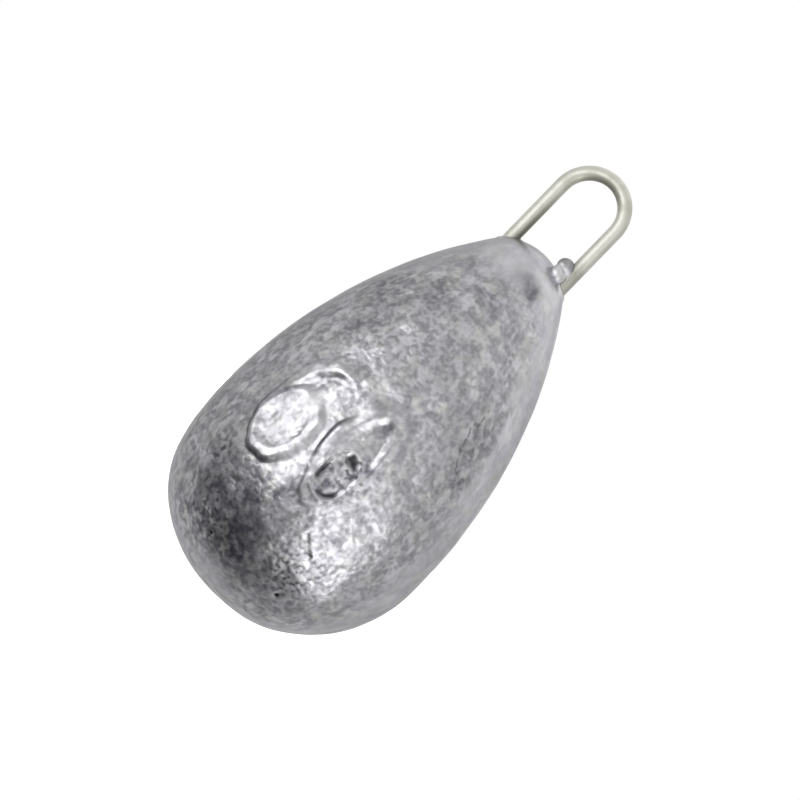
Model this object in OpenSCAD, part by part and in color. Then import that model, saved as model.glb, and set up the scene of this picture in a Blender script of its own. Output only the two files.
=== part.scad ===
// Pear-shaped cast fishing sinker with a bent-wire line eye, about 60 g.
// Lead is poured round one bent wire in a two-half mould, so the finished sinker is two pieces:
// the lead body, and the wire whose bent feet anchor it inside the lead.
// The sinker hangs from its line. The origin is where the line bears, inside the crown of the eye.
// +Z is up, and the eye lies in the XZ plane, which is also the parting plane of the mould.
// All lengths are millimetres and all angles are degrees.

/* [Lead body] */
// Largest diameter of the pear
body_d = 18.4; // [14:0.1:24]
// Height of the widest station above the blunt end
belly_h = 10.4; // [7:0.1:14]
// Height of the edge of the cap above the blunt end
shoulder_h = 29.2; // [24:0.1:38]
// Diameter at the edge of the cap, where the mould is filled
cap_d = 6.7; // [5:0.1:8]
// Rise of the domed cap above its edge
cap_rise = 1.8; // [0.8:0.1:2.6]
// Fullness of the blunt end, where 2 is an ellipse and more is squarer
blunt_fullness = 2.3; // [2:0.05:3]

/* [Wire eye] */
// Diameter of the wire
wire_d = 1; // [0.8:0.05:1.4]
// Clear width between the two legs
eye_gap = 3.8; // [2.5:0.1:5]
// Height from the top of the cap to the inside of the crown
eye_h = 6.1; // [4.5:0.1:10]
// Depth of the straight legs below the edge of the cap
anchor_depth = 8.5; // [6:0.5:11]
// Radius of the bend from a leg to its foot, at the middle of the wire
anchor_bend_r = 1.2; // [1:0.1:1.6]
// Straight length of each foot beyond its bend
foot_l = 1.4; // [0.8:0.1:2]

/* [Casting marks] */
// Height of the flash left along the parting line
seam_h = 0.1; // [0.05:0.01:0.2]
// Width of that flash
seam_w = 0.3; // [0.2:0.05:0.6]
// Diameter of the drop of lead left against one leg, where the gate was cut off
gate_drop_d = 1.4; // [1:0.1:2]
// Distance from that leg's middle to the middle of the drop, towards the other leg
gate_drop_inset = 0.85; // [0.6:0.05:1.1]
// Distance of the middle of the drop in front of the parting plane
gate_drop_front = 0.4; // [0:0.05:0.6]

/* [Hidden] */
$fn = 96;

// Straight steps that stand for each stretch of the outline
blunt_steps = 16;
flank_steps = 16;
cap_steps = 5;

body_r = body_d / 2;
cap_r = cap_d / 2;
cap_top_h = shoulder_h + cap_rise;
blunt_z = -eye_h - cap_top_h;

// One arc runs from the widest station, where it is upright, to the edge of the cap
flank_in = body_r - cap_r;
flank_up = shoulder_h - belly_h;
flank_r = (pow(flank_in, 2) + pow(flank_up, 2)) / (2 * flank_in);
flank_angle = asin(flank_up / flank_r);

// The cap is part of a sphere through its edge and its top
dome_r = (pow(cap_r, 2) + pow(cap_rise, 2)) / (2 * cap_rise);
dome_angle = asin(cap_r / dome_r);

// The legs stand half a wire outside the gap, on both sides of the axis
leg_x = (eye_gap + wire_d) / 2;
crown_z = -eye_gap / 2;
leg_bottom_z = blunt_z + shoulder_h - anchor_depth;

// The three stretches of the right half of the outline, as [radius, height above the blunt end].
// Each is swollen outwards by grow.
function blunt_points(grow) =
    [for (i = [0 : blunt_steps - 1])
        let (a = 90 * i / blunt_steps)
        [(body_r + grow) * pow(sin(a), 2 / blunt_fullness),
         belly_h - (belly_h + grow) * pow(cos(a), 2 / blunt_fullness)]];

function flank_points(grow) =
    [for (i = [0 : flank_steps])
        let (a = flank_angle * i / flank_steps)
        [body_r - flank_r + (flank_r + grow) * cos(a),
         belly_h + (flank_r + grow) * sin(a)]];

function cap_points(grow) =
    [for (i = [1 : cap_steps])
        let (a = dome_angle * (1 - i / cap_steps))
        [(dome_r + grow) * sin(a),
         cap_top_h - dome_r + (dome_r + grow) * cos(a)]];

function outline(grow = 0) = concat(blunt_points(grow), flank_points(grow), cap_points(grow));

// The other half of an outline, from the cap back down to the blunt end, without the two poles
function mirrored(points) = [for (i = [len(points) - 2 : -1 : 1]) [-points[i][0], points[i][1]]];

// The pear as the mould's cavity turns it
module pear() {
    translate([0, 0, blunt_z])
        rotate_extrude()
            polygon(outline());
}

// The thin ridge where a little lead crept between the mould's halves, all the way round
module parting_flash() {
    translate([0, 0, blunt_z])
        rotate([90, 0, 0])
            linear_extrude(height = seam_w, center = true)
                polygon(concat(outline(seam_h), mirrored(outline(seam_h))));
}

// The drop of lead that stayed against the right leg when the gate was nipped off
module gate_drop() {
    translate([leg_x - gate_drop_inset, -gate_drop_front, -eye_h])
        sphere(d = gate_drop_d);
}

// The eye's crown, half a turn in the XZ plane
module crown() {
    translate([0, 0, crown_z])
        rotate([90, 0, 0])
            rotate_extrude(angle = 180)
                translate([leg_x, 0])
                    circle(d = wire_d);
}

// One leg, its bend and its foot, on the +X side
module leg_and_foot() {
    translate([leg_x, 0, leg_bottom_z])
        cylinder(d = wire_d, h = crown_z - leg_bottom_z);
    translate([leg_x + anchor_bend_r, 0, leg_bottom_z])
        rotate([90, 0, 0])
            rotate_extrude(angle = 90, start = 180)
                translate([anchor_bend_r, 0])
                    circle(d = wire_d);
    translate([leg_x + anchor_bend_r, 0, leg_bottom_z - anchor_bend_r])
        rotate([0, 90, 0])
            cylinder(d = wire_d, h = foot_l);
}

// The whole wire, which is also the shape that it leaves in the lead
module bent_wire() {
    crown();
    leg_and_foot();
    mirror([1, 0, 0])
        leg_and_foot();
}

module lead_body() {
    color([0.62, 0.62, 0.65])
        difference() {
            union() {
                pear();
                parting_flash();
                gate_drop();
            }
            bent_wire();
        }
}

module wire_eye() {
    color([0.84, 0.83, 0.76])
        bent_wire();
}

lead_body();
wire_eye();
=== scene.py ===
# %% [markdown]
# # A cast lead sinker
# The real object is two pieces: a pear of lead, and the wire that the lead was poured round.
# The measured model comes first, as a frame that never moves. Each piece then gets a finer skin
# that lies on it, with the marks of casting and handling, and its own metal.
# Blender counts in metres, and a sinker is small, so lengths are written as millimetres times MM.

# %% Load the frame
import math

import bpy
import numpy as np
from mathutils import Matrix, Vector


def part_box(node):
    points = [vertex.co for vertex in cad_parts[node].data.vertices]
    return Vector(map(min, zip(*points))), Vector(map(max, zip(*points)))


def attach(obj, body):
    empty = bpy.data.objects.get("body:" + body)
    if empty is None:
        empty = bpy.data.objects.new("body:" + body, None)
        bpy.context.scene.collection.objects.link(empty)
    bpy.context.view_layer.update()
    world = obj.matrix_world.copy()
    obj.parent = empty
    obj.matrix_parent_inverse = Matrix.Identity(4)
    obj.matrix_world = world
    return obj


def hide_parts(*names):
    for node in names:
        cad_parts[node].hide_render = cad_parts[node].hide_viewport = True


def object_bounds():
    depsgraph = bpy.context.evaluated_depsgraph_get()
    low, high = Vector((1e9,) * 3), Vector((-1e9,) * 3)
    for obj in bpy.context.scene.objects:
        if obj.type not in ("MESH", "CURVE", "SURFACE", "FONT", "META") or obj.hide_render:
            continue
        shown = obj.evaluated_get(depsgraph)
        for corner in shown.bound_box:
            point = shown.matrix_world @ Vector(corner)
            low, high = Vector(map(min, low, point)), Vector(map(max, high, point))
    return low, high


MM = 0.001
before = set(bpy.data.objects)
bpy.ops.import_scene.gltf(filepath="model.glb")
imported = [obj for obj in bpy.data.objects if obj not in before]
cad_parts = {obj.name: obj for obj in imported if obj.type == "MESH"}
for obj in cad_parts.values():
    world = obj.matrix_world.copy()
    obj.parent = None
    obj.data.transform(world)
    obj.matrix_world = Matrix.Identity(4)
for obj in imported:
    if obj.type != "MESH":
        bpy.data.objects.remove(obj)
CAD_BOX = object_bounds()
print("model box, mm:", [[round(c / MM, 2) for c in corner] for corner in CAD_BOX])

# %% [markdown]
# ## Sizes
# A skin must lie exactly on the piece that it covers, so as many sizes as possible are read from
# the frame's boxes. Only what a box can't say is written down: the shape of the pear's outline,
# the clear width of the eye, and the bend of the hidden feet.

# %% Sizes
lead_low, lead_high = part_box("lead_body")
wire_low, wire_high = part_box("wire_eye")

BODY_R = (lead_high.y - lead_low.y) / 2
SEAM_H = (lead_high.x - lead_low.x) / 2 - BODY_R
BLUNT_Z = lead_low.z + SEAM_H
BELLY_H = 10.4 * MM
SHOULDER_H = 29.2 * MM
CAP_R = 3.35 * MM
CAP_RISE = 1.8 * MM
BLUNT_FULLNESS = 2.3

WIRE_R = (wire_high.y - wire_low.y) / 2
EYE_GAP = 3.8 * MM
LEG_X = EYE_GAP / 2 + WIRE_R
CROWN_Z = wire_high.z - LEG_X - WIRE_R
ANCHOR_BEND_R = 1.2 * MM
FOOT_Z = wire_low.z + WIRE_R
FOOT_END_X = wire_high.x
CAP_TOP_Z = BLUNT_Z + SHOULDER_H + CAP_RISE
print(f"pear {2 * BODY_R / MM:.2f} mm thick, {(CAP_TOP_Z - BLUNT_Z) / MM:.2f} mm long")
print(f"wire {2 * WIRE_R / MM:.2f} mm, crown at {CROWN_Z / MM:.2f} mm, foot at {FOOT_Z / MM:.2f} mm")

# %% [markdown]
# ## The camera
# The photo looks square on to the pear's axis, which leans to the right. A long lens keeps the
# outline of a round body from swelling. The camera stands a little to the right of the numbered
# front, so one leg of the eye comes nearer, and rolls until the axis leans as in the photo.

# %% The camera
PHOTO_SIDE = 800
PIXELS_PER_MM = 15.23
AXIS_LEAN = math.radians(44.15)
CAMERA_TURN = math.radians(13.5)
AIM_HEIGHT = 17.57 * MM
AIM_SIDE = -0.13 * MM
LENS = 135.0
SENSOR = 36.0

view_width = PHOTO_SIDE / PIXELS_PER_MM * MM
camera_distance = view_width * LENS / SENSOR
UP = Vector((0, 0, 1))
SIDE = Vector((math.cos(CAMERA_TURN), math.sin(CAMERA_TURN), 0))
BACK = Vector((math.sin(CAMERA_TURN), -math.cos(CAMERA_TURN), 0))
picture_right = math.cos(AXIS_LEAN) * SIDE + math.sin(AXIS_LEAN) * UP
picture_up = -math.sin(AXIS_LEAN) * SIDE + math.cos(AXIS_LEAN) * UP
aim = Vector((0, 0, BLUNT_Z + AIM_HEIGHT)) + AIM_SIDE * SIDE

camera_data = bpy.data.cameras.new("photo_camera")
camera_data.lens = LENS
camera_data.sensor_width = SENSOR
camera_data.clip_start = 0.01
camera = bpy.data.objects.new("photo_camera", camera_data)
turn = Matrix((picture_right, picture_up, BACK)).transposed().to_4x4()
camera.matrix_world = Matrix.Translation(aim + camera_distance * BACK) @ turn
bpy.context.scene.collection.objects.link(camera)
bpy.context.scene.camera = camera
print(f"camera {camera_distance / MM:.0f} mm away, view {view_width / MM:.1f} mm wide")

# %% [markdown]
# ## Noise worked out as arrays
# Cast lead has no two spots alike, so its skin needs randomness that is the same on each run. A
# lattice point gets a number by mixing the bits of its indices, and a point between lattice
# points gets a smooth mixture of the eight around it. Adding finer and weaker layers makes it
# cloudy. Working on whole arrays takes a second for a hundred thousand points.

# %% Noise
def lattice_number(ix, iy, iz, seed):
    """A number from 0 to 1 for each lattice point, from its indices' mixed bits."""
    bits = (ix * 374761393 + iy * 668265263 + iz * 1103515245 + seed * 974634777) & 0xFFFFFFFF
    bits = ((bits ^ (bits >> 13)) * 1274126177) & 0xFFFFFFFF
    bits = ((bits ^ (bits >> 15)) * 668265263) & 0xFFFFFFFF
    return ((bits ^ (bits >> 16)) & 0xFFFFFF) / 0xFFFFFF


def smooth_noise(points, size, seed):
    """Noise from -1 to 1 whose lumps are about size across: the eight corners' numbers, blended."""
    scaled = points / size
    corner = np.floor(scaled).astype(np.int64)
    share = scaled - corner
    share = share * share * share * (share * (share * 6 - 15) + 10)
    total = np.zeros(points.shape[:-1])
    for step in np.ndindex(2, 2, 2):
        weight = np.prod(np.where(np.array(step) == 1, share, 1 - share), axis=-1)
        index = corner + np.array(step)
        total += weight * lattice_number(index[..., 0], index[..., 1], index[..., 2], seed)
    return 2 * total - 1


def cloudy_noise(points, size, seed, layers=3):
    """Smooth noise with finer layers, each half as large and half as strong as the last."""
    strengths = [0.5 ** layer for layer in range(layers)]
    made = [power * smooth_noise(points, size * power, seed + layer)
            for layer, power in enumerate(strengths)]
    return sum(made) / sum(strengths)


def nearest_seed(points, size, seed):
    """Distance, in sizes, to the nearest of one random seed point per cell, and its number."""
    scaled = points / size
    corner = np.floor(scaled).astype(np.int64)
    best = np.full(points.shape[:-1], 9.0)
    number = np.zeros(points.shape[:-1])
    for step in np.ndindex(3, 3, 3):
        cell = corner + np.array(step) - 1
        at = [lattice_number(cell[..., 0], cell[..., 1], cell[..., 2], seed + k) for k in range(3)]
        distance = np.linalg.norm(scaled - cell - np.stack(at, axis=-1), axis=-1)
        closer = distance < best
        own = lattice_number(cell[..., 0], cell[..., 1], cell[..., 2], seed + 3)
        number = np.where(closer, own, number)
        best = np.minimum(best, distance)
    return best, number


def soft_step(value, low, high):
    """0 below low, 1 above high, and a smooth rise between."""
    share = np.clip((value - low) / (high - low), 0, 1)
    return share * share * (3 - 2 * share)


def bell(distance, reach):
    """1 at no distance and less further off: e to minus the square of distance over reach."""
    return np.exp(-(distance / reach) ** 2)

# %% [markdown]
# ## The pear's outline
# The mould's cavity was turned, so one outline says it all. The blunt end is a little squarer
# than an ellipse, the flank is one long arc, and the cap is the dome where the mould was filled.
# Each stretch is a formula, and a table of evenly spaced points along all three is what the
# grid and the marks look up later.

# %% The pear's outline
def pear_outline(steps=700):
    """Radius and height, evenly spaced from the blunt pole to the cap's: power curve, arc, dome."""
    a = np.linspace(0, math.pi / 2, steps)
    blunt = np.stack([BODY_R * np.sin(a) ** (2 / BLUNT_FULLNESS),
                      BELLY_H * (1 - np.cos(a) ** (2 / BLUNT_FULLNESS))])
    inwards, upwards = BODY_R - CAP_R, SHOULDER_H - BELLY_H
    flank_r = (inwards ** 2 + upwards ** 2) / (2 * inwards)
    a = np.linspace(0, math.asin(upwards / flank_r), steps)
    flank = np.stack([BODY_R - flank_r * (1 - np.cos(a)), BELLY_H + flank_r * np.sin(a)])
    dome_r = (CAP_R ** 2 + CAP_RISE ** 2) / (2 * CAP_RISE)
    a = np.linspace(math.asin(CAP_R / dome_r), 0, steps)
    dome = np.stack([dome_r * np.sin(a), SHOULDER_H + CAP_RISE - dome_r * (1 - np.cos(a))])
    line = np.concatenate([blunt, flank[:, 1:], dome[:, 1:]], axis=1)
    length = np.concatenate([[0], np.cumsum(np.hypot(*np.diff(line, axis=1)))])
    even = np.linspace(0, length[-1], 2 * steps)
    return even, np.interp(even, length, line[0]), np.interp(even, length, line[1])


along, outline_r, outline_h = pear_outline()
print(f"outline {along[-1] / MM:.2f} mm long, widest at {outline_h[outline_r.argmax()] / MM:.2f} mm")

# %% [markdown]
# ## The grid on the pear
# The skin is a grid of rings and columns. The eye looks hardest at the raised number, the cap
# and the eye's legs, so the grid is closer there: a density is added up along each direction,
# and the lines are placed at even steps of that sum. The whole grid stays under 200,000
# triangles.

# %% The grid on the pear
NUMBER_H = 13.0 * MM
COLUMNS = 424
RINGS = 228


def spaced(positions, density, count):
    """Places for count lines among the positions, closer together where the density is high."""
    total = np.concatenate([[0], np.cumsum((density[1:] + density[:-1]) / 2 * np.diff(positions))])
    return np.interp(np.linspace(0, total[-1], count), total, positions)


ring_density = (1 + 0.9 * np.exp(-((outline_h - NUMBER_H) / (5.5 * MM)) ** 4)
                + 1.2 * bell(outline_h - SHOULDER_H, 1.2 * MM))
ring_at = spaced(along, ring_density, RINGS + 2)
fine_angle = np.linspace(-math.pi, math.pi, 2001)
column_density = 1 + 1.1 * np.exp(-(fine_angle / math.radians(38)) ** 4)
angle = spaced(fine_angle, column_density, COLUMNS + 1)[:-1][None, :]

ring_r = np.interp(ring_at, along, outline_r)[:, None]
ring_h = np.interp(ring_at, along, outline_h)[:, None]
slope_r = np.interp(ring_at, along, np.gradient(outline_r, along))[:, None]
slope_h = np.interp(ring_at, along, np.gradient(outline_h, along))[:, None]
slope_r[0], slope_h[0], slope_r[-1], slope_h[-1] = 1, 0, -1, 0
ring_r[0], ring_r[-1] = 0, 0


def round_the_axis(radius, height):
    """Points at each angle round the axis. Angle 0 is the front, -Y, and +X is a quarter turn."""
    flat = np.ones_like(angle)
    return np.stack([radius * np.sin(angle), -radius * np.cos(angle), height * flat], axis=-1)


pear = round_the_axis(ring_r, BLUNT_Z + ring_h)
outwards = round_the_axis(slope_h, -slope_r)
print(f"{RINGS} rings of {COLUMNS} columns")

# %% [markdown]
# ## The raised number
# A sinker's weight is cut into its mould, so it stands up on the lead. A plain 60 fits this
# sinker's own mass. Each digit is a path that a round cutter follows, and all that the relief
# needs is each point's distance from that path. Ovals do for both digits: a whole one for the 0,
# and for the 6 a low one with part of a taller one as its back. The distance then becomes a
# height with soft shoulders, as lead never fills a sharp corner. The shoulder is crispest at the
# lower left, where a painted shadow lies along its foot. It is soft inside the 6's bowl and worn
# on the right and at the top, and in a few places the lead never filled the mould.

# %% The raised number
DIGIT_HEIGHT = 7.3 * MM
DIGIT_WIDTH = 3.5 * MM
DIGIT_SPACING = 5.2 * MM
# The 6's bowl as shares of the digit's height: how far below its middle, and half its height
BOWL_DROP = 0.20
BOWL_HALF = 0.30
STROKE_HALF = 0.49 * MM
SHOULDER_SOFT = 0.16 * MM
RELIEF = 0.24 * MM
SOOT_HALF = 0.12 * MM


def from_oval(x, y, half_width, half_height):
    """About the distance from an oval's line: how far its equation is from 1, over its slope."""
    level = np.hypot(x / half_width, y / half_height) + 1e-9
    slope = np.hypot(x / half_width ** 2, y / half_height ** 2) / level + 1e-9
    return np.abs(level - 1) / slope


def from_oval_arc(x, y, half_width, half_height, start, end):
    """The same for a part of the oval between two angles in degrees, with round ends."""
    at = np.degrees(np.arctan2(y / half_height, x / half_width))
    ends = [np.hypot(x - half_width * math.cos(a), y - half_height * math.sin(a))
            for a in (math.radians(start), math.radians(end))]
    beside = (at >= start) & (at <= end)
    return np.where(beside, from_oval(x, y, half_width, half_height), np.minimum(*ends))


def from_six(x, y, width, height):
    """Distance from a 6: a low oval, and a taller one's upper left part as its back."""
    bowl = from_oval(x, y + BOWL_DROP * height, 0.5 * width, BOWL_HALF * height)
    back = from_oval_arc(x - 0.3 * width, y + 0.15 * height, 0.8 * width, 0.65 * height, 88, 178)
    return np.minimum(bowl, back)


across = angle * BODY_R * np.ones_like(ring_h)
upright = (ring_h - NUMBER_H) * np.ones_like(angle)
from_number = np.minimum(
    from_six(across + DIGIT_SPACING / 2, upright, DIGIT_WIDTH, DIGIT_HEIGHT),
    from_oval(across - DIGIT_SPACING / 2, upright, DIGIT_WIDTH / 2, DIGIT_HEIGHT / 2))
slope_across = np.gradient(-from_number, axis=1) / np.gradient(across, axis=1)
slope_upright = np.gradient(-from_number, axis=0) / np.gradient(upright, axis=0)
from_bowl = np.hypot((across + DIGIT_SPACING / 2) / (0.5 * DIGIT_WIDTH),
                     (upright + BOWL_DROP * DIGIT_HEIGHT) / (BOWL_HALF * DIGIT_HEIGHT))
in_bowl = 1 - soft_step(from_bowl, 0.8, 1.0)
worn_side = 0.4 * soft_step(across, 0, 0.8 * MM) + 0.6 * soft_step(across, 2.2 * MM, 3.6 * MM)
worn_top = soft_step(upright, 1.0 * MM, 2.6 * MM)
lower_left = soft_step((slope_across + slope_upright) / math.sqrt(2), -0.35, 0.6)
crisp = (1 - in_bowl) * (1 - 0.85 * worn_side) * (1 - 0.7 * worn_top) * lower_left
wander = 0.12 * MM * smooth_noise(pear, 0.8 * MM, 11) + 0.16 * MM * smooth_noise(pear, 2.0 * MM, 12)
softness = SHOULDER_SOFT * (1 + 1.7 * (1 - crisp) + 1.5 * in_bowl)
stroke = 1 - soft_step(from_number + wander, STROKE_HALF - softness, STROKE_HALF + softness)
filled_well = 0.3 + 0.7 * soft_step(smooth_noise(pear, 2.4 * MM, 15), -0.45, 0.2)
number_relief = filled_well * RELIEF * stroke
# Painted shadow: a dark line along the digits' lower left feet, on their shaded side.
foot_soot = crisp * bell(from_number + wander - STROKE_HALF - 0.05 * MM, SOOT_HALF)
print(f"number {DIGIT_HEIGHT / MM:.1f} mm tall, raised {number_relief.max() / MM:.2f} mm")

# %% [markdown]
# ## Casting and handling marks
# The mould's two halves never quite match, so a faint ridge and a tiny step run all the way
# round. Lead shrinks as it sets, which leaves wide flats and swellings, shallow hollows, a
# frosted grain and some pinholes. Where two flows met while setting there is a crease. The lead
# creeps up the legs and the drop, and sinks a little before the right leg. Low inside the 0 the
# mould was rough in an oval, with a ragged sunken rim and a raised lip. Afterwards the soft metal
# collects nicks, and filing and rubbing smooth it. Each mark is a height over the same grid, so
# they simply add up.

# %% Casting and handling marks
SEAM_HALF = 0.13 * MM
SEAM_STEP = 0.012 * MM
# A place is degrees round the axis from the front and mm above the blunt end, and every other
# number in these tables is mm too. Pinholes have a place, a radius and a depth. Nicks have two
# places, half a width and a depth. Swellings have a place, a reach and a rise, or a flat's fall.
PINHOLES = [(37.2, 3.25, 0.2, 0.1), (-10, 3.2, 0.18, 0.14), (150, 9, 0.2, 0.18),
            (205, 17, 0.18, 0.15), (118, 22, 0.15, 0.12), (250, 5, 0.2, 0.16)]
NICKS = [(-8.5, 11.2, -7.3, 11.6, 0.11, 0.07), (23.5, 7.4, 31.5, 6.4, 0.12, 0.1),
         (55, 15.5, 59, 14.2, 0.14, 0.07), (-47, 8.5, -43, 9.6, 0.12, 0.06),
         (128, 13, 136, 12, 0.14, 0.08), (-140, 18, -133, 17.2, 0.12, 0.07),
         (172, 7, 180, 8.1, 0.15, 0.08)]
CREASE = [(-31, 21.6), (-17, 23.4), (0, 25.7), (18, 27.2), (41, 28.7)]
CREASE_HALF = 0.2 * MM
CREASE_DEPTH = 0.07 * MM
SWELLINGS = [(-76, 4.3, 2.4, 0.17), (103, 1.6, 2.6, -0.22), (103, 7.5, 2.0, 0.08),
             (-76, 0.6, 2.0, -0.10)]
HOLLOWS, DIMPLES, GRAIN, PITS = 0.085 * MM, 0.06 * MM, 0.014 * MM, 0.05 * MM
ROUGH_GRAIN, RIM_DEPTH, LIP_HEIGHT = 0.06 * MM, 0.12 * MM, 0.09 * MM
CREEP_UP_LEG, CREEP_UP_DROP, SINK_BEFORE_LEG = 0.12 * MM, 0.06 * MM, 0.08 * MM
DROP_AT = np.array([LEG_X - 0.72 * MM, -0.48 * MM, CAP_TOP_Z - 0.05 * MM])
SINK_AT = np.array([LEG_X - 0.3 * MM, -1.1 * MM])


def placed(degrees, height_mm):
    """The point of the plain pear at an angle and a height above the blunt end."""
    r = np.interp(height_mm * MM, outline_h, outline_r)
    a = math.radians(degrees)
    return np.array([r * math.sin(a), -r * math.cos(a), BLUNT_Z + height_mm * MM])


def from_place(degrees, height_mm):
    """Distance in space from each point of the grid to one place on the pear."""
    return np.linalg.norm(pear - placed(degrees, height_mm), axis=-1)


def near_places(places, sharpness=2):
    """1 at the places and less round them: e to minus a power of the distance over the reach."""
    away = [from_place(degrees, height_mm) / (reach * MM) for degrees, height_mm, reach in places]
    return np.exp(-np.minimum.reduce(away) ** sharpness)


def from_stroke(a0, h0, a1, h1):
    """Distance in space from the straight line between two places on the pear."""
    start = placed(a0, h0)
    line = placed(a1, h1) - start
    share = np.clip((pear - start) @ line / (line @ line), 0, 1)[..., None]
    return np.linalg.norm(pear - start - share * line, axis=-1)


def seam_height():
    """A ridge along the parting plane, y = 0, and the small step between the two halves."""
    from_plane = pear[..., 1]
    patchy = 0.55 + 0.45 * smooth_noise(pear, 2.6 * MM, 21)
    return (0.8 * SEAM_H * patchy * bell(from_plane, SEAM_HALF)
            + SEAM_STEP * np.tanh(from_plane / SEAM_HALF))


def handling_depth():
    """Pinholes are round pits, nicks are short strokes, and the crease is a soft wandering one."""
    holes = [deep * MM * bell(from_place(degrees, height_mm), radius * MM)
             for degrees, height_mm, radius, deep in PINHOLES]
    nicks = [deep * MM * bell(from_stroke(*ends), half * MM) for *ends, half, deep in NICKS]
    wandering = 0.18 * MM * smooth_noise(pear, 1.3 * MM, 31)
    patchy = 0.5 + 0.5 * smooth_noise(pear, 1.1 * MM, 32)
    creases = [CREASE_DEPTH * patchy * bell(from_stroke(*start, *end) + wandering, CREASE_HALF)
               for start, end in zip(CREASE, CREASE[1:])]
    return np.maximum.reduce(holes + nicks + creases)


def swelling_height():
    """Wide soft swellings and flats where the casting departs from the turned form."""
    return sum(rise * MM * bell(from_place(degrees, height_mm), reach * MM)
               for degrees, height_mm, reach, rise in SWELLINGS)


def grain_height():
    """Slow hollows, dimples and a frosted grain, and a small pit in one random cell of four."""
    away, number = nearest_seed(pear, 0.8 * MM, 43)
    return (HOLLOWS * cloudy_noise(pear, 4.2 * MM, 41, 2) + DIMPLES * smooth_noise(pear, 1.5 * MM, 45)
            + GRAIN * cloudy_noise(pear, 0.75 * MM, 42, 2) - PITS * (number > 0.75) * bell(away, 0.28))


def rough_oval():
    """Low inside the 0 the mould is rough in an oval. Distance from its middle, 1 at its edge."""
    beside = (across - DIGIT_SPACING / 2 + 0.15 * MM) / (0.28 * DIGIT_WIDTH)
    away = np.hypot(beside, (upright + 0.22 * DIGIT_HEIGHT) / (0.21 * DIGIT_HEIGHT))
    return away + 0.13 * smooth_noise(pear, 0.6 * MM, 67)


def collar_height():
    """Lead creeps up the legs and the drop near the cap, and sinks in a hollow before the right leg."""
    x, y, z = pear[..., 0], pear[..., 1], pear[..., 2]
    from_leg = np.hypot(np.abs(x) - LEG_X, y) - WIRE_R
    from_drop = np.hypot(x - DROP_AT[0], y - DROP_AT[1]) - 0.42 * MM
    from_sink = np.hypot(x - SINK_AT[0], y - SINK_AT[1])
    creep = np.maximum(CREEP_UP_LEG * bell(np.maximum(from_leg, 0), 0.2 * MM),
                       CREEP_UP_DROP * bell(np.maximum(from_drop, 0), 0.22 * MM))
    near_cap = soft_step(z, BLUNT_Z + SHOULDER_H - 1.2 * MM, BLUNT_Z + SHOULDER_H)
    return near_cap * (creep - SINK_BEFORE_LEG * bell(from_sink, 0.8 * MM))


rubbed_cap = soft_step(ring_h, SHOULDER_H - 2.2 * MM, SHOULDER_H - 0.2 * MM) * np.ones_like(angle)
on_left = soft_step(-pear[..., 0], 0, 3 * MM)
filed_flash = 1 - soft_step(np.abs(pear[..., 1]) + 0.9 * MM * smooth_noise(pear, 2.0 * MM, 64),
                            (2.0 + 1.0 * on_left) * MM, (3.8 + 1.6 * on_left) * MM)
rubbed_end = near_places([(-4, 1.2, 2.0)], 4)
rubbed_bowl = near_places([(-15, 12.3, 2.6)], 4)
rubbed_clean = np.maximum(rubbed_end, near_places([(-14, 8.3, 1.1), (-4.5, 10.1, 1.0)]))
rubbed = np.maximum.reduce([rubbed_cap, 0.85 * filed_flash, 0.8 * rubbed_end, 0.8 * rubbed_bowl])
from_rough = rough_oval()
rough_patch = 1 - soft_step(from_rough, 0.8, 1.1)
patch_rim = bell(from_rough - 0.92, 0.16) * soft_step(smooth_noise(pear, 0.9 * MM, 68), -0.35, 0.15)
patch_lip = (bell(from_rough - 1.2, 0.11)
             * np.clip(0.75 + 0.7 * smooth_noise(pear, 0.5 * MM, 70), 0, 1))
height = (number_relief + seam_height() - handling_depth()
          + ROUGH_GRAIN * rough_patch * cloudy_noise(pear, 0.5 * MM, 46, 2)
          - RIM_DEPTH * patch_rim + LIP_HEIGHT * patch_lip
          + (1 - 0.75 * rubbed) * grain_height() + collar_height() + swelling_height())
lead_points = pear + height[..., None] * outwards
print(f"skin moved {height.min() / MM:.2f} to {height.max() / MM:.2f} mm from the turned pear")
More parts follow.
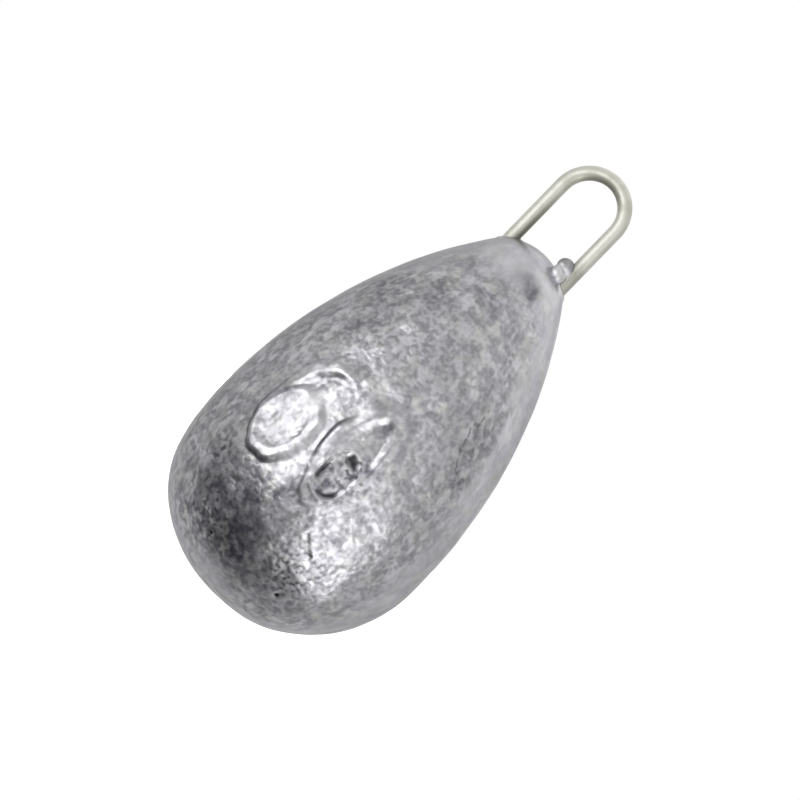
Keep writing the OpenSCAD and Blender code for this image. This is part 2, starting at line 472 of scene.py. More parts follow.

# %% [markdown]
# ## Where air and fingers have been
# Six masks say how the metal's finish changes over the piece, and the material reads them as
# attributes. Three of them also carry painted light. Oxide gathers in smoky patches, thickest
# below the number, on the digits' right sides and in the rough oval, and its mask also darkens
# the digits' lower left feet and one shaded spot below the number as painted shade. A mask of
# painted shade lies at those feet, in the oval's sunken rim and on that spot. Polish is where
# the casting has been rubbed smooth: on the cap, beside the parting line where the flash was
# filed off, on the blunt end, inside the 6 and on the digits' tops. Pitted places have small
# dark dents. Frosted ones have a brighter and rougher grain, which is in part a painted glint,
# such as at the oval's lip and the drop's foot. Satin ones have a softer shine.

# %% Where air and fingers have been, and where shade is painted
# A place on the pear and a reach in mm, and for smoke and painted shade also how thick it is
# The thick patch at -4 degrees and 7.1 mm is painted shade on a shaded spot.
SMOKY_PATCHES = [(-7, 5.0, 4.6, 0.76), (2, 4.9, 2.3, 0.95), (3, 3.6, 2.2, 1.0), (15, 3.7, 1.9, 0.8),
                 (15, 5.5, 1.3, 0.6), (-4, 7.1, 1.2, 1.4), (6, 7.7, 1.0, 1.0), (9, 8.7, 0.9, 0.55),
                 (15, 10.5, 0.9, 1.4), (23, 12.9, 0.9, 0.9), (-17, 14.7, 0.8, 0.75),
                 (-24, 13.2, 0.8, 0.9), (17, 15.7, 0.6, 0.6), (21, 14.9, 0.55, 0.65),
                 (24, 13.9, 0.5, 0.7), (21, 18.1, 1.0, 0.5), (-27, 19.3, 1.2, 0.5),
                 (0, 15.2, 0.8, 0.6), (-26, 10.1, 0.7, 0.4), (27, 11.9, 0.8, 0.5),
                 (-44, 9.0, 3.6, 0.28), (26, 4.2, 3.0, 0.35), (34.6, 8.3, 0.7, 0.5),
                 (28, 28.6, 0.8, 1.0), (4, 26.4, 1.0, 0.45), (-16, 24.2, 1.0, 0.5),
                 (-40, 22.0, 1.8, 0.5), (58, 19.1, 1.2, 0.5), (60, 16.4, 0.8, 0.6),
                 (70, 12, 4.5, 0.2), (150, 8, 5, 0.6), (200, 20, 4, 0.5), (110, 20, 3, 0.4),
                 (250, 13, 4.5, 0.4)]
# Painted shade on the same shaded spot: a place and a reach.
SOOTY_PLACES = [(-6, 7.4, 0.7)]
PITTED_PLACES = [(31, 4.9, 2.3), (-30, 7.4, 1.1), (-14, 4.5, 3.0), (20, 12.0, 1.5), (160, 9, 3),
                 (230, 16, 3)]
FROSTED_PLACES = [(40, 6.0, 1.7), (-22, 18.5, 3.6), (13, 8.8, 2.4), (-5, 21, 2.5), (160, 14, 4),
                  (230, 10, 4)]


def smoke():
    """Soft blobs round chosen places of the pear, pulled out of round and broken up by clouds."""
    pulled = 0.45 * MM * cloudy_noise(pear, 1.0 * MM, 69, 2)
    clouds = 0.5 + 0.5 * cloudy_noise(pear, 1.3 * MM, 61)
    blobs = [share * bell(from_place(degrees, height_mm) + pulled, reach * MM)
             for degrees, height_mm, reach, share in SMOKY_PATCHES]
    return np.clip(np.maximum.reduce(blobs) * (0.4 + 1.2 * clouds), 0, 1)


on_digit = stroke * filled_well
at_foot = foot_soot * filled_well
dull_digit = np.maximum(soft_step(across, 0.6 * MM, 2.2 * MM), 0.2 * soft_step(upright, MM, 3 * MM))
# The oxide mask also takes in the painted shadow at the digits' feet.
oxide = np.maximum.reduce([
    smoke() * (1 - 0.8 * rubbed_clean), (0.1 + 0.35 * dull_digit) * on_digit, 0.85 * at_foot,
    rough_patch * np.clip(0.35 + 0.8 * cloudy_noise(pear, 0.45 * MM, 66), 0, 1)])
# Painted shade: at the digits' lower left feet, in the oval's sunken rim and on one shaded spot.
soot = np.maximum.reduce([0.65 * at_foot, patch_rim, 0.4 * near_places(SOOTY_PLACES)])
polish = np.maximum.reduce([rubbed, 0.6 * on_digit, 0.9 * patch_lip])
# Frost brightens and roughens the grain. At the oval's lip and some frosted places it is also a painted
# glint.
frosted = np.maximum.reduce([near_places(FROSTED_PLACES), patch_lip, 0.4 * in_bowl])
pitted = np.maximum(near_places(PITTED_PLACES), 0.35 * in_bowl)
shares = [100 * (mask > 0.3).mean() for mask in (oxide, polish)]
print(f"oxide covers {shares[0]:.0f}% of the grid, polish {shares[1]:.0f}%")

# %% [markdown]
# ## From arrays to a mesh
# Every ring but the first and the last becomes a row of corners, and those two shrink to one
# corner each, so the skin is closed. The faces' corner numbers are worked out as arrays as well.
# Shading is smooth, because the relief is in the mesh and not in its facets.

# %% From arrays to a mesh
def closed_skin(name, grid, **masks):
    """A closed mesh from rings of points whose first and last ring are one point each.

    Each mask has one number for each point of the grid, and becomes an attribute."""
    rings, columns = grid.shape[0] - 2, grid.shape[1]
    corners = np.concatenate([grid[:1, 0], grid[1:-1].reshape(-1, 3), grid[-1:, 0]])
    ring, column = np.meshgrid(np.arange(rings - 1), np.arange(columns), indexing="ij")
    here, there = 1 + ring * columns, 1 + (ring + 1) * columns
    after = (column + 1) % columns
    quads = np.stack([here + column, here + after, there + after, there + column], axis=-1)
    column, after = np.arange(columns), (np.arange(columns) + 1) % columns
    last, top = 1 + (rings - 1) * columns, len(corners) - 1
    low_fan = np.stack([np.zeros_like(column), 1 + after, 1 + column], axis=-1)
    high_fan = np.stack([np.full_like(column, top), last + column, last + after], axis=-1)
    faces = quads.reshape(-1, 4).tolist() + low_fan.tolist() + high_fan.tolist()
    mesh = bpy.data.meshes.new(name)
    mesh.from_pydata(corners, [], faces)
    mesh.shade_smooth()
    for mask_name, mask in masks.items():
        values = np.concatenate([mask[:1, 0], mask[1:-1].ravel(), mask[-1:, 0]])
        mesh.attributes.new(mask_name, "FLOAT", "POINT").data.foreach_set("value", values)
    piece = bpy.data.objects.new(name, mesh)
    bpy.context.scene.collection.objects.link(piece)
    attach(piece, "root")
    triangles = 2 * len(quads.reshape(-1, 4)) + 2 * columns
    print(f"{name}: {len(corners)} corners, {triangles} triangles")
    return piece


lead_skin = closed_skin("lead_skin", lead_points, oxide=oxide, polish=polish, soot=soot,
                         pitted=pitted, frosted=frosted, satin=0.3 * in_bowl)
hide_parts("lead_body")

# %% [markdown]
# ## The drop at the gate
# The mould is filled at the cap. When the gate is nipped off, a drop of lead stays stuck against
# one leg. It is a lumpy ball that swells into lobes: one stands up, and the others cling to the
# leg and to the cap. Its top has gone dull, and its foot is painted brighter, a painted glint.

# %% The drop at the gate
DROP_R = 0.40 * MM
# Each lobe: its direction, how far it swells, and how narrow it is
LOBES = [((-0.2, 0.1, 0.95), 1.3, 2), ((0.6, 0.3, 0.6), 0.7, 3), ((0.9, 0.5, 0.0), 0.8, 3),
         ((0.4, -0.3, -0.8), 0.6, 3), ((-0.1, -0.5, -0.8), 1.1, 1.3)]


def gate_drop():
    """Radius of a ball by direction: one, plus each lobe's swell times a power of the cosine to it."""
    polar = np.linspace(math.pi, 0, 60)[:, None]
    turned = np.linspace(0, 2 * math.pi, 96, endpoint=False)[None, :]
    ball = np.stack([np.sin(polar) * np.cos(turned), np.sin(polar) * np.sin(turned),
                     np.cos(polar) * np.ones_like(turned)], axis=-1)
    radius = 1 + 0.06 * cloudy_noise(ball, 0.7, 51, 2)
    for towards, swell, narrowness in LOBES:
        near = np.clip(ball @ (np.array(towards) / np.linalg.norm(towards)), 0, 1)
        radius = radius + swell * near ** narrowness
    return DROP_AT + DROP_R * radius[..., None] * ball


drop_points = gate_drop()
drop_top = soft_step(drop_points[..., 2] - DROP_AT[2], 0.1 * MM, 0.5 * MM)
# The drop's foot is frosted and painted brighter, a painted glint.
drop = closed_skin("gate_drop", drop_points, polish=0.7 + 0.2 * drop_top, oxide=0.45 * drop_top,
                   frosted=1 - drop_top, satin=np.ones_like(drop_top))

# %% [markdown]
# ## The wire
# One wire makes the eye: up one leg, round the crown, and down the other, with a bent foot at
# each end inside the lead. Its path lies in one plane, so a ring of points can be carried along
# it without twisting. The path is worked out for one side and mirrored. Painted shade is a
# mask, by where a point is and which way it faces.

# %% The wire
WIRE_SIDES = 32


def wire_half_path():
    """Middle of the wire from the crown's top to the end of the foot, in x and z."""
    a = np.linspace(math.pi / 2, 0, 40)
    crown = np.stack([LEG_X * np.cos(a), CROWN_Z + LEG_X * np.sin(a)], axis=-1)
    bend_z = FOOT_Z + ANCHOR_BEND_R
    leg_z = np.linspace(CROWN_Z, bend_z, 90)[1:]
    leg = np.stack([np.full_like(leg_z, LEG_X), leg_z], axis=-1)
    a = np.linspace(math.pi, 1.5 * math.pi, 14)[1:]
    bend = np.stack([LEG_X + ANCHOR_BEND_R * (1 + np.cos(a)), bend_z + ANCHOR_BEND_R * np.sin(a)], -1)
    foot_x = np.linspace(LEG_X + ANCHOR_BEND_R, FOOT_END_X, 6)[1:]
    foot = np.stack([foot_x, np.full_like(foot_x, FOOT_Z)], axis=-1)
    return np.concatenate([crown, leg, bend, foot])


def wire_points():
    """A ring round each point of the path, drawn in at both cut ends."""
    half = wire_half_path()
    path = np.concatenate([half[:0:-1], half * [-1, 1]])
    along_path = np.gradient(path, axis=0)
    along_path /= np.linalg.norm(along_path, axis=1, keepdims=True)
    in_plane = np.stack([along_path[:, 1], -along_path[:, 0]], axis=-1)
    ends = np.array([0, 0.75, 1])
    radius = np.ones(len(path))
    path = np.concatenate([path[:1], path[:1], path, path[-1:], path[-1:]])
    in_plane = np.concatenate([in_plane[:1], in_plane[:1], in_plane, in_plane[-1:], in_plane[-1:]])
    radius = WIRE_R * np.concatenate([ends[:2], radius, ends[1::-1]])
    turned = np.linspace(0, 2 * math.pi, WIRE_SIDES, endpoint=False)[None, :]
    sideways = radius[:, None] * np.cos(turned)
    x = path[:, :1] + sideways * in_plane[:, :1]
    z = path[:, 1:] + sideways * in_plane[:, 1:]
    y = radius[:, None] * np.sin(turned)
    facing = np.stack([np.cos(turned) * in_plane[:, :1], np.cos(turned) * in_plane[:, 1:]], axis=-1)
    return np.stack([x, y, z], axis=-1), facing


def wire_grime(points, facing):
    """Painted shade: under the crown, down the right side of each leg, and near the lead."""
    x, z = points[..., 0], points[..., 2]
    to_right = soft_step(facing[..., 0], 0.0, 0.9)
    under = soft_step(-facing[..., 1], 0.1, 0.9) * soft_step(z, CROWN_Z, CROWN_Z + 1.2 * MM)
    under = under * (1 - soft_step(x, 0.9 * MM, 1.8 * MM))
    near_lead = soft_step(-z, 2.0 * MM, 5.6 * MM)
    left_leg = soft_step(-x, 0, MM)
    right_foot = (1 - left_leg) * soft_step(-z, 4.2 * MM, 5.8 * MM)
    down_right = to_right * (0.2 + 0.12 * left_leg + 0.6 * left_leg * near_lead)
    return np.maximum(np.maximum(down_right, 0.8 * under), 0.5 * right_foot)


wire_grid, wire_facing = wire_points()
wire_skin = closed_skin("wire_skin", wire_grid, grime=wire_grime(wire_grid, wire_facing))
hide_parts("wire_eye")

# %% [markdown]
# ## Building materials from nodes
# A helper that adds a node, fills its sockets and links what is given as a socket keeps each
# recipe short enough to read from top to bottom. Two effects are groups, built once and placed
# many times: the mottle makes cloudy patches of any size, and the thin stroke makes marks that
# are finer than the grid.

# %% Building materials from nodes
def add_node(tree, kind, settings=None, **sockets):
    """Adds a node. Sockets are named with underscores for spaces, and take a value or a link."""
    node = tree.nodes.new(kind)
    for name, value in (settings or {}).items():
        setattr(node, name, value)
    for name, value in sockets.items():
        key = int(name[1:]) if name[1:].isdigit() else name.replace("_", " ")
        if isinstance(value, bpy.types.NodeSocket):
            tree.links.new(value, node.inputs[key])
        else:
            node.inputs[key].default_value = value
    return node


def maths(tree, operation, *numbers):
    """One step of arithmetic, on numbers or links."""
    given = {f"_{k}": number for k, number in enumerate(numbers)}
    return add_node(tree, "ShaderNodeMath", {"operation": operation}, **given).outputs[0]


def window(tree, value, low, high, amount=1.0, rise="SMOOTHSTEP"):
    """0 before low and the amount past high, with a rise between. Low may be the larger number."""
    return add_node(tree, "ShaderNodeMapRange", {"interpolation_type": rise}, Value=value,
                    From_Min=low, From_Max=high, To_Max=amount).outputs[0]


def grey(value, green=0.0, blue=0.0):
    """A grey as a colour with alpha. More blue than green is lilac, and less blue is straw."""
    return (value, value * (1 + green), value * (1 + blue), 1)


def mottle_group():
    """A shared effect: cloudy patches of a given size, sharpened, from 0 to 1."""
    group = bpy.data.node_groups.new("mottle", "ShaderNodeTree")
    for name, value in (("Size", 0.001), ("Detail", 3.0), ("Offset", 0.0), ("Low", 0.4), ("High", 0.6)):
        socket = group.interface.new_socket(name, in_out="INPUT", socket_type="NodeSocketFloat")
        socket.default_value = value
    group.interface.new_socket("Mask", in_out="OUTPUT", socket_type="NodeSocketFloat")
    given = group.nodes.new("NodeGroupInput").outputs
    place = add_node(group, "ShaderNodeTexCoord").outputs["Object"]
    offset = add_node(group, "ShaderNodeCombineXYZ", X=given["Offset"], Y=given["Offset"]).outputs[0]
    scale = maths(group, "DIVIDE", 1.0, given["Size"])
    spot = add_node(group, "ShaderNodeVectorMath", {"operation": "SCALE"},
                    _0=place, Scale=scale).outputs[0]
    spot = add_node(group, "ShaderNodeVectorMath", _0=spot, _1=offset).outputs[0]
    noise = add_node(group, "ShaderNodeTexNoise", Vector=spot, Scale=1.0, Detail=given["Detail"])
    mask = window(group, noise.outputs[0], given["Low"], given["High"])
    out = group.nodes.new("NodeGroupOutput")
    group.links.new(mask, out.inputs["Mask"])
    return group


MOTTLE = mottle_group()


def mottle(tree, size, low, high, detail=3.0, offset=0.0):
    """Places the shared mottle in a material with its own size and sharpness."""
    node = add_node(tree, "ShaderNodeGroup", {"node_tree": MOTTLE},
                    Size=size, Low=low, High=high, Detail=detail, Offset=offset)
    return node.outputs["Mask"]


def stroke_group():
    """A shared effect: 1 within Half of the straight line from Start to End, soft at its edge."""
    group = bpy.data.node_groups.new("thin_stroke", "ShaderNodeTree")
    for name, kind in (("Start", "Vector"), ("End", "Vector"), ("Half", "Float"), ("Wander", "Float")):
        group.interface.new_socket(name, in_out="INPUT", socket_type="NodeSocket" + kind)
    group.interface.new_socket("Mask", in_out="OUTPUT", socket_type="NodeSocketFloat")
    given = group.nodes.new("NodeGroupInput").outputs
    place = add_node(group, "ShaderNodeTexCoord").outputs["Object"]

    def vector(operation, *vectors, result=0, **more):
        """One step of vector arithmetic. Result 1 is a plain number."""
        more.update({f"_{k}": given_one for k, given_one in enumerate(vectors)})
        return add_node(group, "ShaderNodeVectorMath", {"operation": operation}, **more).outputs[result]

    noise = add_node(group, "ShaderNodeTexNoise", Vector=place, Scale=1 / (0.7 * MM), Detail=1.0)
    pushed = vector("SCALE", vector("SUBTRACT", noise.outputs[1], (0.5, 0.5, 0.5)),
                    Scale=given["Wander"])
    line = vector("SUBTRACT", given["End"], given["Start"])
    from_start = vector("SUBTRACT", vector("ADD", place, pushed), given["Start"])
    dots = [vector("DOT_PRODUCT", first, line, result=1) for first in (from_start, line)]
    share = add_node(group, "ShaderNodeMath", {"operation": "DIVIDE", "use_clamp": True},
                     _0=dots[0], _1=dots[1]).outputs[0]
    away = vector("DISTANCE", from_start, vector("SCALE", line, Scale=share), result=1)
    outer, inner = [maths(group, "MULTIPLY", given["Half"], times) for times in (1.5, 0.5)]
    out = group.nodes.new("NodeGroupOutput")
    group.links.new(window(group, away, outer, inner), out.inputs["Mask"])
    return group


THIN_STROKE = stroke_group()


def thin_strokes(tree, strokes, wander=0.0):
    """The largest mask of some strokes, each with its two ends and half its width."""
    mask = None
    for start, end, half in strokes:
        own = add_node(tree, "ShaderNodeGroup", {"node_tree": THIN_STROKE},
                       Start=start, End=end, Half=half, Wander=wander).outputs["Mask"]
        mask = own if mask is None else maths(tree, "MAXIMUM", mask, own)
    return mask


def blend(tree, share, first, second):
    """A colour between two colours, by a share."""
    node = add_node(tree, "ShaderNodeMix", {"data_type": "RGBA"}, Factor=share, _6=first, _7=second)
    return node.outputs[2]


def ramp(tree, share, low, high):
    """A number between two numbers, by a share."""
    return add_node(tree, "ShaderNodeMapRange", Value=share, To_Min=low, To_Max=high).outputs[0]


def lay(tree, colour, over, mask, most=None):
    """Lays one colour over another by a mask, up to the largest share."""
    return blend(tree, mask if most is None else ramp(tree, mask, 0.0, most), colour, over)


def new_material(name):
    """A material, its nodes and its shader."""
    material = bpy.data.materials.new(name)
    material.use_nodes = True
    return material, material.node_tree, material.node_tree.nodes["Principled BSDF"]


def mask_here(tree, name):
    """One of the masks that the mesh carries."""
    return add_node(tree, "ShaderNodeAttribute", {"attribute_name": name}).outputs["Fac"]

# %% [markdown]
# ## Cast lead
# Fresh lead is bright, and air turns it a dull lilac grey within days. Rubbed places stay
# brighter and smoother, smoky oxide gathers in patches, and the frosted grain breaks every
# highlight into specks. The metal reflects, so most of the look is relief and roughness: a
# coarse and a fine bump scatter the reflections, and dark and bright grains of colour stay
# visible where nothing bright is reflected. A darker tint for grazing angles keeps the outline
# from glowing. Dents, oxide, light streaks and painted shade are each laid over what came
# before. The painted shade lies at the digits' feet, in the oval's rim, along the crack and in the
# pinholes' middles. Some frosted places and the drop's foot are painted brighter, a painted glint.

# %% Cast lead
# The darkest tints, for the digits' feet, the crack and the pinholes' middles, are painted shade, and
# the brightest rubbed tint is partly a painted glint.
LEAD_TINTS = {
    "edge": grey(0.62), "dull": grey(0.56, -0.015, 0.065), "pale": grey(0.66, -0.01, 0.045),
    "warm": grey(0.62, 0.005, -0.04), "blot": grey(0.30, -0.01, 0.06),
    "dark grain": grey(0.27, -0.01, 0.07), "bright grain": grey(0.86, -0.01, 0.04),
    "dull rubbed": grey(0.50, -0.015, 0.07), "pale rubbed": grey(0.67, -0.015, 0.04),
    "warm rubbed": grey(0.60, 0.01, -0.06), "frosted rubbed": grey(0.90, -0.01, 0.02),
    "dent": grey(0.12, -0.01, 0.12), "oxide": grey(0.095, 0.0, 0.30),
    "soot": grey(0.035, -0.01, 0.15), "crack": grey(0.14, -0.01, 0.10),
    "hole": grey(0.03, 0.0, 0.10)}
COARSE_GRAIN, FINE_GRAIN = 0.62 * MM, 0.30 * MM
CRACK = [(49, 20.6), (47.6, 19.3), (48.7, 18.0), (51.5, 17.3), (55.2, 16.4)]
CRACK_HALF, CRACK_WANDER = 0.12 * MM, 1.2 * MM
LIGHT_STREAKS = [(-46.2, 21.4, -43.2, 22.7), (-43.2, 22.7, -40.4, 24.1), (-36, 24.5, -31, 25.5),
                 (-14, 24.2, -8, 25.3), (-30, 22.3, -26, 23.4)]
STREAK_HALF, STREAK_WANDER = 0.13 * MM, 0.9 * MM


def on_skin(degrees, height_mm):
    """The skin's own point nearest to a place of the plain pear."""
    return lead_points.reshape(-1, 3)[from_place(degrees, height_mm).argmin()].tolist()


def cast_lead():
    """Aired and rubbed lead, each mark's colour laid over it, then its roughness and its grain."""
    material, tree, shader = new_material("cast_lead")
    shader.inputs["Metallic"].default_value = 1.0
    shader.inputs["Specular Tint"].default_value = LEAD_TINTS["edge"]
    oxide_here, polish_here, soot_here, pitted_here, frosted_here, satin_here = [
        mask_here(tree, name) for name in ("oxide", "polish", "soot", "pitted", "frosted", "satin")]

    place = add_node(tree, "ShaderNodeTexCoord").outputs["Object"]
    coarse = add_node(tree, "ShaderNodeTexNoise", Vector=place, Scale=1 / COARSE_GRAIN, Detail=1.5,
                      Roughness=0.5, Distortion=0.25).outputs[0]
    fine = add_node(tree, "ShaderNodeTexNoise", Vector=place, Scale=1 / FINE_GRAIN,
                    Detail=0.5).outputs[0]
    peaks = window(tree, coarse, 0.41, 0.59, rise="LINEAR")
    specks = window(tree, fine, 0.40, 0.60, rise="LINEAR")
    dents = window(tree, fine, 0.48, 0.33)
    clouds = mottle(tree, 2.6 * MM, 0.35, 0.65, 4.0)
    blots = mottle(tree, 1.0 * MM, 0.42, 0.58, 1.5, 5.0)
    tints = mottle(tree, 1.3 * MM, 0.42, 0.62, 3.0, 17.0)
    flakes = mottle(tree, 0.6 * MM, 0.42, 0.6, 2.0, 9.0)

    aired = blend(tree, clouds, LEAD_TINTS["dull"], LEAD_TINTS["pale"])
    aired = lay(tree, aired, LEAD_TINTS["warm"], tints, 0.8)
    aired = lay(tree, aired, LEAD_TINTS["blot"], blots, 0.50)
    aired = blend(tree, ramp(tree, peaks, 0.66, 0.0), aired, LEAD_TINTS["dark grain"])
    sparkle = maths(tree, "MULTIPLY", ramp(tree, specks, -0.05, 0.20),
                    ramp(tree, frosted_here, 1.0, 2.2))
    aired = lay(tree, aired, LEAD_TINTS["bright grain"], sparkle)
    smooth = blend(tree, clouds, LEAD_TINTS["dull rubbed"], LEAD_TINTS["pale rubbed"])
    smooth = lay(tree, smooth, LEAD_TINTS["warm rubbed"], tints, 0.4)
    # Frosted places and the drop's foot are painted brighter here, partly a painted glint.
    smooth = lay(tree, smooth, LEAD_TINTS["frosted rubbed"], frosted_here, 0.7)
    colour = lay(tree, aired, smooth, polish_here, 0.8)

    deep_dents = maths(tree, "MULTIPLY", dents, ramp(tree, pitted_here, 0.0, 0.85))
    colour = lay(tree, colour, LEAD_TINTS["dent"], deep_dents)
    streaks = thin_strokes(tree, [(on_skin(a0, h0), on_skin(a1, h1), STREAK_HALF)
                                  for a0, h0, a1, h1 in LIGHT_STREAKS], STREAK_WANDER)
    colour = lay(tree, colour, LEAD_TINTS["bright grain"], streaks, 0.55)
    ragged = maths(tree, "ADD", ramp(tree, peaks, 0.0, 0.6), ramp(tree, flakes, 0.0, 0.4))
    ragged = add_node(tree, "ShaderNodeMix", Factor=ramp(tree, polish_here, 0.0, 0.6),
                      _2=ragged, _3=0.35).outputs[0]
    patchy = maths(tree, "MULTIPLY", oxide_here, ramp(tree, ragged, 1.0, 0.2))
    # This oxide colour also paints shade at the digits' feet and on one shaded spot.
    colour = lay(tree, colour, LEAD_TINTS["oxide"], patchy)
    # Painted shade at the digits' feet, in the oval's rim and on one shaded spot.
    colour = lay(tree, colour, LEAD_TINTS["soot"], soot_here)
    ends = [on_skin(*crack_place) for crack_place in CRACK]
    # The crack's dark line is painted shade.
    cracks = thin_strokes(tree, [(start, end, CRACK_HALF) for start, end in zip(ends, ends[1:])],
                          CRACK_WANDER)
    colour = lay(tree, colour, LEAD_TINTS["crack"], cracks, 0.6)
    # The pinholes' dark middles are painted shade.
    middles = [(on_skin(degrees, height_mm), radius) for degrees, height_mm, radius, _ in PINHOLES]
    holes = thin_strokes(tree, [(middle, middle, 0.85 * radius * MM) for middle, radius in middles])
    colour = lay(tree, colour, LEAD_TINTS["hole"], holes)
    tree.links.new(colour, shader.inputs["Base Color"])

    rough = ramp(tree, clouds, 0.36, 0.42)
    for mask, more in ((peaks, -0.06), (patchy, 0.10), (satin_here, 0.14)):
        rough = maths(tree, "MULTIPLY_ADD", mask, more, rough)
    tree.links.new(rough, shader.inputs["Roughness"])

    strength = ramp(tree, polish_here, 1.0, 0.3)
    depth = ramp(tree, frosted_here, 0.052 * MM, 0.064 * MM)
    bump = add_node(tree, "ShaderNodeBump", Strength=strength, Distance=depth, Height=coarse)
    bump = add_node(tree, "ShaderNodeBump", Strength=strength, Distance=0.012 * MM,
                    Height=fine, Normal=bump.outputs[0])
    tree.links.new(bump.outputs[0], shader.inputs["Normal"])
    return material


LEAD = cast_lead()
for piece in (lead_skin, drop):
    piece.data.materials.append(LEAD)

# %% [markdown]
# ## Tinned wire
# The wire is steel with a thin coat of tin, warmer and brighter than the lead. The coat is dull
# and only partly metallic, with duller spots where it was bent. Painted shade darkens it under
# the crown, down its right sides and near the lead.

# %% Tinned wire
# The darkest colour is painted shade, under the crown, down the right sides and near the lead.
TIN, DULL_TIN, GRIME = grey(0.70, -0.01, -0.10), grey(0.60, -0.01, -0.15), grey(0.16, -0.02, -0.25)


def tinned_wire():
    """Pale straw grey with dull spots, darkened by the mask of painted shade."""
    material, tree, shader = new_material("tinned_wire")
    shader.inputs["Metallic"].default_value = 0.7
    dull_spots = mottle(tree, 1.2 * MM, 0.4, 0.7, 2.0, 21.0)
    colour = lay(tree, blend(tree, dull_spots, TIN, DULL_TIN), GRIME, mask_here(tree, "grime"))
    tree.links.new(colour, shader.inputs["Base Color"])
    tree.links.new(ramp(tree, dull_spots, 0.47, 0.55), shader.inputs["Roughness"])
    return material


wire_skin.data.materials.append(tinned_wire())

# %% [markdown]
# ## Floor, surroundings and lamps
# The photo is on pure white. A floor that also shines a little to the camera melts into the
# white surroundings, while the metal sees a greyer room. Two soft boxes make the two bright
# patches, and a weak third one fills between them. Metal shows its surroundings, so where the
# lamps are matters more than their strength: each stands where a mirror at the bright patch
# would show it. Soft round patches on the room's walls shade the rest.

# %% Floor, surroundings and lamps
FLOOR_Z = CAD_BOX[0].z - 16 * MM
FLOOR_SIDE = 1.6
FLOOR_GLOW = 0.75
BOX_DISTANCE = 200 * MM
# Degrees round the sinker from the camera and upwards, half the width and half the height in
# degrees, and the brightness
SOFT_BOXES = {"left_box": (-41, 2, 24, 15, 2.5), "top_box": (2, 18, 22, 8, 0.7),
              "right_box": (47, -24, 25, 19, 1.9)}
ROOM_LIGHT = 0.585
# Degrees round the sinker and upwards again, the cosines of a patch's edge and of the edge of
# its even middle, and how much light it adds, or for the darkness below takes away
DARK_BELOW = (-24, -53, -0.1, 1.0, 0.68)
ROOM_PATCHES = [(142, 50, 0.65, 0.95, 0.46), (176, -2, 0.75, 0.97, 0.36), (28, -5, 0.90, 0.99, 0.50),
                (56, -38, 0.86, 0.98, 0.15), (185, -40, 0.60, 0.95, 0.10), (0, 90, 0.55, 0.90, 0.20),
                (38, 11, 0.82, 0.97, 0.26), (6, -19, 0.85, 0.98, 0.21), (-28, 0, 0.93, 0.99, 0.35),
                (-115, -5, 0.85, 0.98, 0.15), (118, 0, 0.85, 0.98, 0.20), (-138, -47, 0.80, 0.97, 0.22),
                (140, -52, 0.80, 0.97, 0.10), (-145, 50, 0.80, 0.97, 0.18)]


def pale_floor():
    """A matt white square that glows to the camera alone, and that no metal reflects."""
    mesh = bpy.data.meshes.new("floor")
    half = FLOOR_SIDE / 2
    corners = [(x * half, y * half, FLOOR_Z) for x, y in ((-1, -1), (1, -1), (1, 1), (-1, 1))]
    mesh.from_pydata(corners, [], [(0, 1, 2, 3)])
    floor = bpy.data.objects.new("floor", mesh)
    bpy.context.scene.collection.objects.link(floor)
    material, tree, shader = new_material("pale_floor")
    shader.inputs["Base Color"].default_value = (0.8, 0.8, 0.8, 1)
    shader.inputs["Roughness"].default_value = 0.9
    shader.inputs["Specular IOR Level"].default_value = 0.0
    shader.inputs["Emission Color"].default_value = (1, 1, 1, 1)
    to_camera = add_node(tree, "ShaderNodeLightPath").outputs["Is Camera Ray"]
    tree.links.new(ramp(tree, to_camera, 0.0, FLOOR_GLOW), shader.inputs["Emission Strength"])
    mesh.materials.append(material)
    floor.visible_glossy = False


def heading(side_angle, up_angle):
    """A direction from the sinker: degrees round its axis from the camera, and degrees upwards."""
    side, up = math.radians(side_angle), math.radians(up_angle)
    return math.cos(up) * (math.sin(side) * SIDE + math.cos(side) * BACK) + math.sin(up) * UP


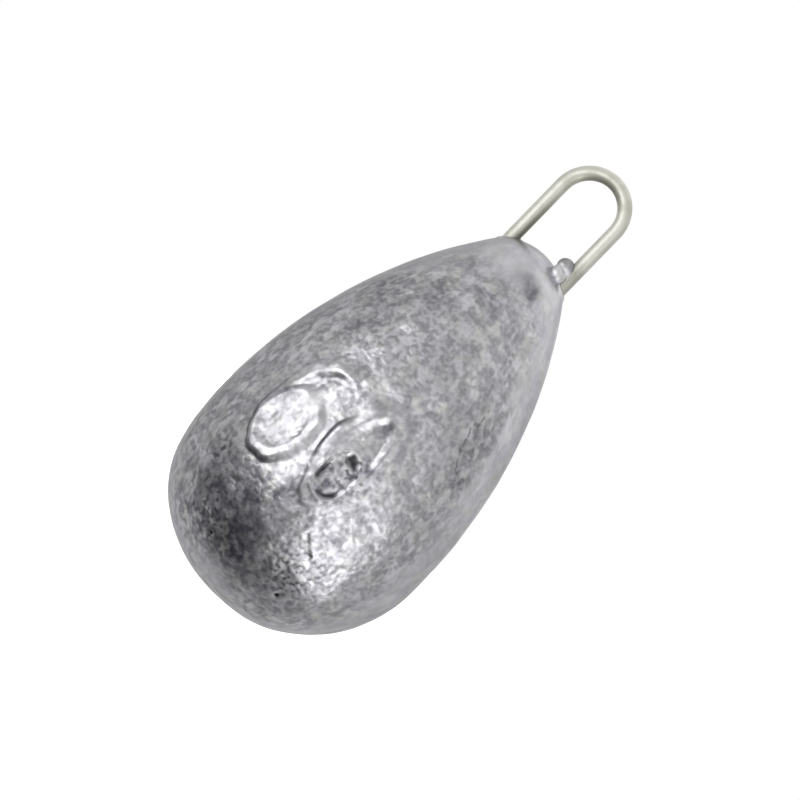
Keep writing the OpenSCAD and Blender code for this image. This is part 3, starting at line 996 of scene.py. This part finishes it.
def surroundings():
    """White to the camera. To the metal, a grey room, darker below and lighter behind."""
    world = bpy.data.worlds.new("studio")
    bpy.context.scene.world = world
    world.use_nodes = True
    tree = world.node_tree
    tree.nodes.clear()
    way = add_node(tree, "ShaderNodeTexCoord").outputs["Generated"]

    def patch(side_angle, up_angle, edge, middle, amount):
        """A soft round patch: the amount in its middle and 0 past its edge."""
        facing = add_node(tree, "ShaderNodeVectorMath", {"operation": "DOT_PRODUCT"},
                          _0=way, _1=heading(side_angle, up_angle)).outputs["Value"]
        return window(tree, facing, edge, middle, amount)

    light = maths(tree, "MULTIPLY_ADD", patch(*DARK_BELOW), -ROOM_LIGHT, ROOM_LIGHT)
    for row in ROOM_PATCHES:
        light = maths(tree, "ADD", light, patch(*row))
    is_camera = add_node(tree, "ShaderNodeLightPath").outputs["Is Camera Ray"]
    seen = add_node(tree, "ShaderNodeBackground", Color=(1, 1, 1, 1), Strength=1.0).outputs[0]
    room = add_node(tree, "ShaderNodeBackground", Color=grey(1.0), Strength=light).outputs[0]
    both = add_node(tree, "ShaderNodeMixShader", _0=is_camera, _1=room, _2=seen).outputs[0]
    add_node(tree, "ShaderNodeOutputWorld", Surface=both)


def soft_box(name, side_angle, up_angle, half_width, half_height, brightness):
    """A lamp that covers the given angles as seen from the sinker, as bright as paper times that."""
    direction = heading(side_angle, up_angle)
    lamp = bpy.data.lights.new(name, "AREA")
    lamp.shape = "RECTANGLE"
    lamp.size = 2 * BOX_DISTANCE * math.tan(math.radians(half_width))
    lamp.size_y = 2 * BOX_DISTANCE * math.tan(math.radians(half_height))
    lamp.energy = brightness * math.pi * lamp.size * lamp.size_y
    made = bpy.data.objects.new(name, lamp)
    made.location = Vector((0, 0, BLUNT_Z + NUMBER_H)) + BOX_DISTANCE * direction
    made.rotation_euler = direction.to_track_quat("Z", "Y").to_euler()
    bpy.context.scene.collection.objects.link(made)
    print(f"{name}: {lamp.size / MM:.0f} by {lamp.size_y / MM:.0f} mm, {lamp.energy:.2f} W")


pale_floor()
surroundings()
for box_name, box in SOFT_BOXES.items():
    soft_box(box_name, *box)
bpy.context.scene.view_settings.view_transform = "Standard"
